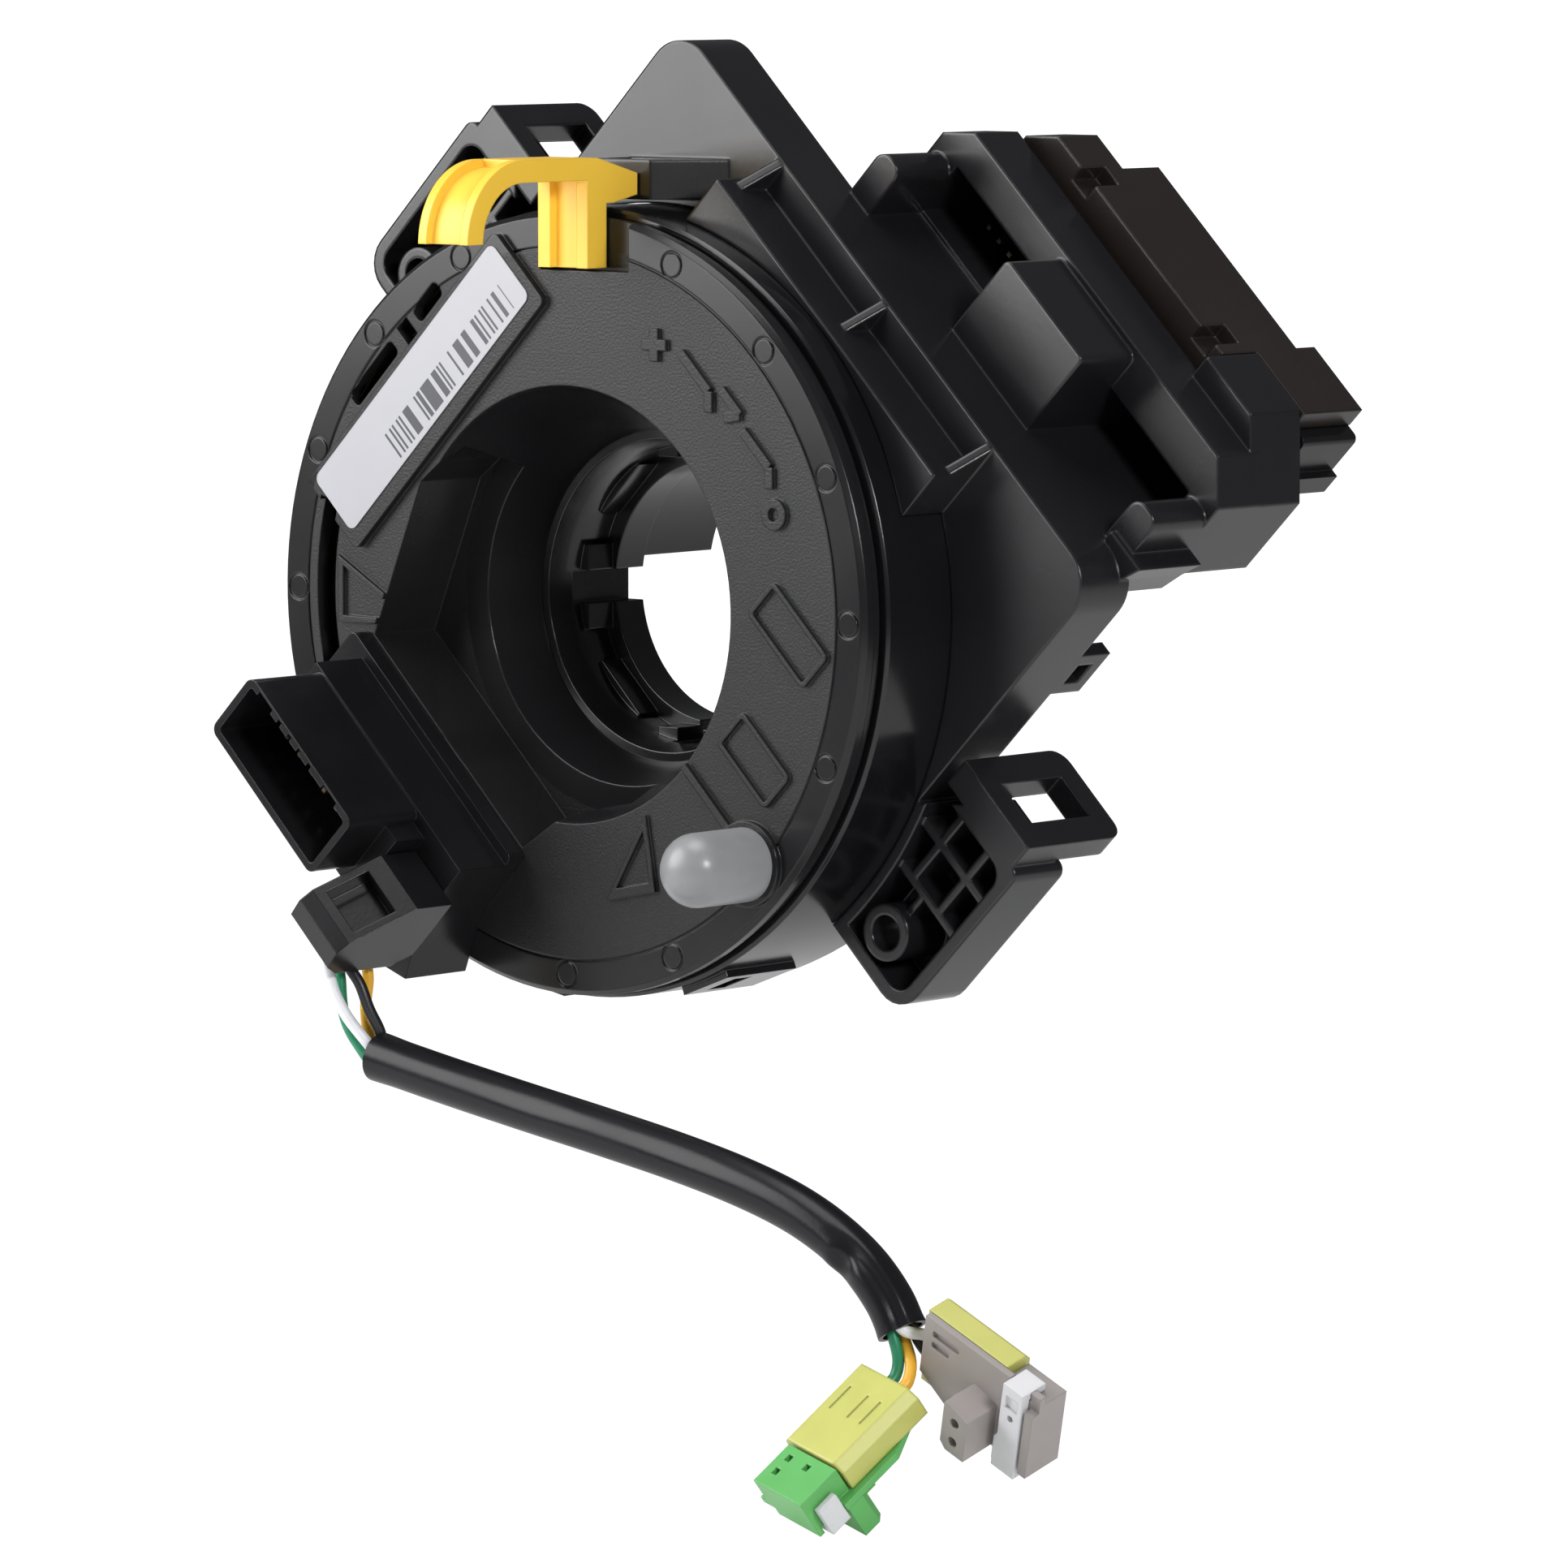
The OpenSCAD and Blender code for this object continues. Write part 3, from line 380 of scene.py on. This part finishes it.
def moulded(node, body, material):
    """A copy of a CAD node with its triangles joined and its curved walls shaded smooth."""
    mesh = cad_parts[node].data.copy()
    piece = bpy.data.objects.new(f"{node}_moulded", mesh)
    bpy.context.scene.collection.objects.link(piece)
    pick(piece)
    bpy.ops.mesh.customdata_custom_splitnormals_clear()
    shell = bmesh.new()
    shell.from_mesh(mesh)
    bmesh.ops.remove_doubles(shell, verts=shell.verts, dist=same_point)
    for face in shell.faces:
        face.smooth = True
    for edge in shell.edges:
        edge.smooth = edge.calc_face_angle(0) < sharp_edge
    shell.to_mesh(mesh)
    shell.free()
    mesh.materials.clear()
    mesh.materials.append(material)
    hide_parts(node)
    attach(piece, body)
    return piece


moulded("cable_case", "stator", varied_plastic(
    "glossy black case", (0.006, 0.006, 0.007), 0.2,
    patch=16 * mm, grain=0.8 * mm, depth=0.004 * mm, spread=0.05, shade=0.2, edge=0.25 * mm,
))
moulded("case_rear_cover", "stator", varied_plastic(
    "rear cover plastic", (0.010, 0.010, 0.011), 0.26,
    patch=14 * mm, grain=0.5 * mm, depth=0.01 * mm, edge=0.3 * mm,
))


# --- Flat cable ---
# A ribbon of copper strips between two plastic films, wound up in the case's chamber.
# It is only seen edge on, through the slots of the rotor's face.
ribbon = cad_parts["flat_cable"]
ribbon.data.materials.clear()
ribbon.data.materials.append(varied_plastic(
    "ribbon film", (0.035, 0.027, 0.016), 0.3,
    patch=5 * mm, grain=0.4 * mm, depth=0.004 * mm, spread=0.08, shade=0.3,
))


# --- Rotor disc ---
# The face, rim and funnel are one moulding in black plastic, clipped on from the front.
# Inside its groove the face has a spark-eroded texture; the ring outside it is smoother.
groove_radius = 48.1 * mm
groove_blend = 0.2 * mm
funnel_mouth = 29.7 * mm
funnel_blend = 0.3 * mm
extra_roughness = {"smooth": -0.14, "textured": 0.05}
grain_strength = {"smooth": 0.08, "textured": 0.9}


def rotor_face_plastic():
    """Textured between the funnel's mouth and the groove, and smooth inside and outside them."""
    material = varied_plastic(
        "rotor face", (0.0105, 0.0105, 0.0115), 0.36,
        patch=15 * mm, grain=0.34 * mm, depth=0.06 * mm, spread=0.05, shade=0.18,
        edge=0.3 * mm, specular=0.36,
    )
    tree = material.node_tree
    shader = tree.nodes["Principled BSDF"]
    place = tree.nodes.new("ShaderNodeTexCoord")
    flat = add_node(tree, "ShaderNodeVectorMath", operation="MULTIPLY")
    flat.inputs[1].default_value = (1, 0, 1)
    radius = add_node(tree, "ShaderNodeVectorMath", operation="LENGTH")
    tree.links.new(place.outputs["Object"], flat.inputs[0])
    tree.links.new(flat.outputs[0], radius.inputs[0])
    textured = []
    for low, high in (
        (groove_radius, groove_radius + groove_blend),
        (funnel_mouth, funnel_mouth - funnel_blend),
    ):
        zone = add_node(tree, "ShaderNodeMapRange")
        zone.inputs["From Min"].default_value = low
        zone.inputs["From Max"].default_value = high
        zone.inputs["To Min"].default_value = 1
        zone.inputs["To Max"].default_value = 0
        tree.links.new(radius.outputs["Value"], zone.inputs["Value"])
        textured.append(zone)
    both = add_node(tree, "ShaderNodeMath", operation="MULTIPLY")
    tree.links.new(textured[0].outputs["Result"], both.inputs[0])
    tree.links.new(textured[1].outputs["Result"], both.inputs[1])
    rough = add_node(tree, "ShaderNodeMapRange")
    rough.inputs["To Min"].default_value = extra_roughness["smooth"]
    rough.inputs["To Max"].default_value = extra_roughness["textured"]
    total = add_node(tree, "ShaderNodeMath", operation="ADD")
    tree.links.new(both.outputs[0], rough.inputs["Value"])
    tree.links.new(shader.inputs["Roughness"].links[0].from_socket, total.inputs[0])
    tree.links.new(rough.outputs["Result"], total.inputs[1])
    tree.links.new(total.outputs[0], shader.inputs["Roughness"])
    strength = add_node(tree, "ShaderNodeMapRange")
    strength.inputs["To Min"].default_value = grain_strength["smooth"]
    strength.inputs["To Max"].default_value = grain_strength["textured"]
    bump = shader.inputs["Normal"].links[0].from_node
    tree.links.new(both.outputs[0], strength.inputs["Value"])
    tree.links.new(strength.outputs["Result"], bump.inputs["Strength"])
    return material


moulded("rotor_disc", "rotor", rotor_face_plastic())


# --- Rotor sleeve ---
# A sleeve in the same black plastic that snaps in from behind and holds the rotor.
# Its bore passes over the steering shaft, and a half collar stands out at the back.
moulded("rotor_sleeve", "rotor", varied_plastic(
    "sleeve plastic", (0.009, 0.009, 0.010), 0.2,
    patch=12 * mm, grain=0.6 * mm, depth=0.006 * mm, spread=0.06, shade=0.2, edge=0.3 * mm,
))


# --- Connector on the rotor, and the wires' guide ---
# The housing is moulded with a deep shroud round its contacts, which are stamped brass.
# The guide is clipped on beside it and leads the four wires down and out.
# The contacts behind the switch block and in its front pocket are of the same strip.
connector_plastic = varied_plastic(
    "connector plastic", (0.008, 0.008, 0.009), 0.24,
    patch=9 * mm, grain=0.5 * mm, depth=0.008 * mm, spread=0.06, shade=0.25,
    edge=0.2 * mm, specular=0.34,
)
moulded("connector_housing", "rotor", connector_plastic)
moulded("wire_guide", "rotor", connector_plastic)


def contact_metal():
    material = varied_plastic(
        "tinned brass", (0.60, 0.50, 0.33), 0.28,
        patch=2 * mm, grain=0.3 * mm, depth=0.003 * mm, spread=0.1, shade=0.15,
    )
    material.node_tree.nodes["Principled BSDF"].inputs["Metallic"].default_value = 1
    return material


brass = contact_metal()
for node in ("connector_pins", "rear_pins", "switch_pins"):
    body = "rotor" if node == "connector_pins" else "stator"
    moulded(node, body, brass)


# --- Label ---
# A white paper label with a clear film over it, stuck in the shallow tray on the face.
# It carries only plain bars, in one row along its inner edge.
bars_across = (-38.3, -34.0)
bars_along = (-8.0, 22.5)
bar_module = 0.36
bar_chance = 0.53
tray_turn = math.radians(-45)
ink_colour = (0.05, 0.05, 0.06, 1)


def label_paper():
    """Paper with bars, in millimetres across and along the turned label."""
    material = varied_plastic(
        "label paper", (0.385, 0.385, 0.41), 0.34,
        patch=10 * mm, grain=0.3 * mm, depth=0.003 * mm, spread=0.05, shade=0.02,
    )
    tree = material.node_tree
    shader = tree.nodes["Principled BSDF"]
    place = tree.nodes.new("ShaderNodeTexCoord")
    turn = tree.nodes.new("ShaderNodeMapping")
    turn.inputs["Rotation"].default_value = (0, tray_turn, 0)
    turn.inputs["Scale"].default_value = (1 / mm, 1 / mm, 1 / mm)
    axes = tree.nodes.new("ShaderNodeSeparateXYZ")
    tree.links.new(place.outputs["Object"], turn.inputs["Vector"])
    tree.links.new(turn.outputs["Vector"], axes.inputs[0])
    step = add_node(tree, "ShaderNodeMath", operation="DIVIDE")
    step.inputs[1].default_value = bar_module
    whole = add_node(tree, "ShaderNodeMath", operation="FLOOR")
    chance = add_node(tree, "ShaderNodeTexWhiteNoise", noise_dimensions="1D")
    mask = add_node(tree, "ShaderNodeMath", operation="GREATER_THAN")
    mask.inputs[1].default_value = 1 - bar_chance
    tree.links.new(axes.outputs["Z"], step.inputs[0])
    tree.links.new(step.outputs[0], whole.inputs[0])
    tree.links.new(whole.outputs[0], chance.inputs["W"])
    tree.links.new(chance.outputs["Value"], mask.inputs[0])
    for axis, span in (("X", bars_across), ("Z", bars_along)):
        for operation, limit in (("GREATER_THAN", span[0]), ("LESS_THAN", span[1])):
            inside = add_node(tree, "ShaderNodeMath", operation=operation)
            inside.inputs[1].default_value = limit
            both = add_node(tree, "ShaderNodeMath", operation="MULTIPLY")
            tree.links.new(axes.outputs[axis], inside.inputs[0])
            tree.links.new(mask.outputs[0], both.inputs[0])
            tree.links.new(inside.outputs[0], both.inputs[1])
            mask = both
    ink = add_node(tree, "ShaderNodeMix", data_type="RGBA")
    tree.links.new(mask.outputs[0], ink.inputs["Factor"])
    tree.links.new(shader.inputs["Base Color"].links[0].from_socket, ink.inputs["A"])
    ink.inputs["B"].default_value = ink_colour
    tree.links.new(ink.outputs["Result"], shader.inputs["Base Color"])
    return material


moulded("label", "rotor", label_paper())


# --- Locating cap ---
# A soft translucent cap, pushed over the pin that finds the steering wheel's hub.
# It is moulded in clear rubber, so light goes a little way into it.
cap = moulded("locating_cap", "rotor", varied_plastic(
    "translucent rubber", (0.25, 0.254, 0.262), 0.33,
    patch=4 * mm, grain=0.7 * mm, depth=0.01 * mm, spread=0.08, shade=0.12,
))
cap_shader = cap.data.materials[0].node_tree.nodes["Principled BSDF"]
cap_shader.inputs["Subsurface Weight"].default_value = 0.35
cap_shader.inputs["Subsurface Radius"].default_value = (1.0, 1.0, 1.0)
cap_shader.inputs["Subsurface Scale"].default_value = 2 * mm


# --- Switch body ---
# The frame, its two ears, the hood and the switch block are one large black moulding.
# It stands behind the rotor and is screwed to the column's bracket through the ears.
# A cover snaps on over the block, and the vehicle's connector is clipped in behind it.
moulded("switch_body", "stator", varied_plastic(
    "switch body plastic", (0.0105, 0.0105, 0.0120), 0.26,
    patch=22 * mm, grain=0.9 * mm, depth=0.008 * mm, spread=0.07, shade=0.22, edge=0.6 * mm,
))
moulded("block_cover", "stator", varied_plastic(
    "block cover plastic", (0.018, 0.0135, 0.0120), 0.27,
    patch=14 * mm, grain=0.6 * mm, depth=0.012 * mm, spread=0.07, shade=0.28, edge=0.6 * mm,
))
moulded("rear_connector", "stator", connector_plastic)


# --- Shipping lock ---
# A hook in yellow plastic whose leg stands in the rim's notch, so the rotor can't turn.
# It is pulled out forwards once the steering wheel is on.
moulded("shipping_lock", "lock", varied_plastic(
    "yellow plastic", (0.90, 0.56, 0.055), 0.42,
    patch=9 * mm, grain=0.5 * mm, depth=0.012 * mm, spread=0.06, shade=0.06, edge=0.3 * mm,
))


# --- Squib plugs ---
# Two small airbag plugs in coloured plastic, each with a snap cover and a sliding lock.
# The colours keep them apart, since each fits only its own socket.
for node, name, colour, radius in (
    ("squib_plug_a", "green plastic", (0.10, 0.40, 0.10), 0.25),
    ("squib_cover_a", "pale yellow plastic a", (0.49, 0.50, 0.128), 0.6),
    ("squib_lock_a", "white plastic a", (0.60, 0.61, 0.62), 0.25),
    ("squib_plug_b", "grey plastic", (0.30, 0.272, 0.262), 0.25),
    ("squib_cover_b", "pale yellow plastic b", (0.51, 0.51, 0.138), 0.4),
    ("squib_lock_b", "white plastic b", (0.64, 0.64, 0.66), 0.25),
):
    squib_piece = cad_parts[node]
    squib_piece.data.materials.clear()
    squib_piece.data.materials.append(varied_plastic(
        name, colour, 0.36,
        patch=5 * mm, grain=0.35 * mm, depth=0.008 * mm, spread=0.07, shade=0.07,
        edge=radius * mm,
    ))


# --- Floor and light ---
# A plain pale floor just under the plugs, a pale surround, and three soft boxes.
# The camera sees floor and surround white, but the part sees them darker and keeps its depth.
floor_height = cad_low.z - 1 * mm
bpy.ops.mesh.primitive_circle_add(
    vertices=96, radius=0.85, fill_type="NGON", location=(0, 0, floor_height),
)
floor = bpy.context.object
floor.name = "floor"
floor_material, floor_tree, floor_shader = new_material("pale floor", (0.8, 0.8, 0.8), 0.9)
floor_shader.inputs["Emission Color"].default_value = (1, 1, 1, 1)
floor_shader.inputs["Emission Strength"].default_value = 0.12
white_floor = floor_tree.nodes.new("ShaderNodeEmission")
white_floor.inputs["Strength"].default_value = 1.05
floor_seen = floor_tree.nodes.new("ShaderNodeLightPath")
floor_mix = floor_tree.nodes.new("ShaderNodeMixShader")
floor_tree.links.new(floor_seen.outputs["Is Camera Ray"], floor_mix.inputs["Fac"])
floor_tree.links.new(floor_shader.outputs[0], floor_mix.inputs[1])
floor_tree.links.new(white_floor.outputs[0], floor_mix.inputs[2])
floor_out = floor_tree.nodes["Material Output"]
floor_tree.links.new(floor_mix.outputs[0], floor_out.inputs["Surface"])
floor.data.materials.append(floor_material)
floor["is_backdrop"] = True

world = bpy.data.worlds.new("studio")
world.use_nodes = True
world_tree = world.node_tree
backdrop = world_tree.nodes["Background"]
backdrop.inputs["Color"].default_value = (1, 1, 1, 1)
backdrop.inputs["Strength"].default_value = 1.15
room_light = world_tree.nodes.new("ShaderNodeBackground")
room_light.inputs["Color"].default_value = (0.95, 0.97, 1.0, 1)
room_light.inputs["Strength"].default_value = 0.1
seen = world_tree.nodes.new("ShaderNodeLightPath")
either = world_tree.nodes.new("ShaderNodeMixShader")
world_tree.links.new(seen.outputs["Is Camera Ray"], either.inputs["Fac"])
world_tree.links.new(room_light.outputs[0], either.inputs[1])
world_tree.links.new(backdrop.outputs[0], either.inputs[2])
world_tree.links.new(either.outputs[0], world_tree.nodes["World Output"].inputs["Surface"])
bpy.context.scene.world = world
bpy.context.scene.view_settings.view_transform = "Standard"


def softbox(name, place, aim, size, power):
    """A rectangular lamp of the given width and height, turned to its aim."""
    bpy.ops.object.light_add(type="AREA", location=place)
    lamp = bpy.context.object
    lamp.name = name
    lamp.data.shape = "RECTANGLE"
    lamp.data.size, lamp.data.size_y = size
    lamp.data.energy = power
    lamp.rotation_euler = (Vector(aim) - Vector(place)).to_track_quat("-Z", "Y").to_euler()


softbox("left front light", (-0.27, -0.33, 0.185), (0, 0, 0.01), (0.34, 0.36), 2.6)
softbox("right fill light", (0.72, -0.30, 0.30), (0, 0, 0), (0.16, 0.16), 3.6)
softbox("top light", (0.0, -0.15, 0.95), (0, 0, 0), (0.6, 0.6), 5)

low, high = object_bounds()
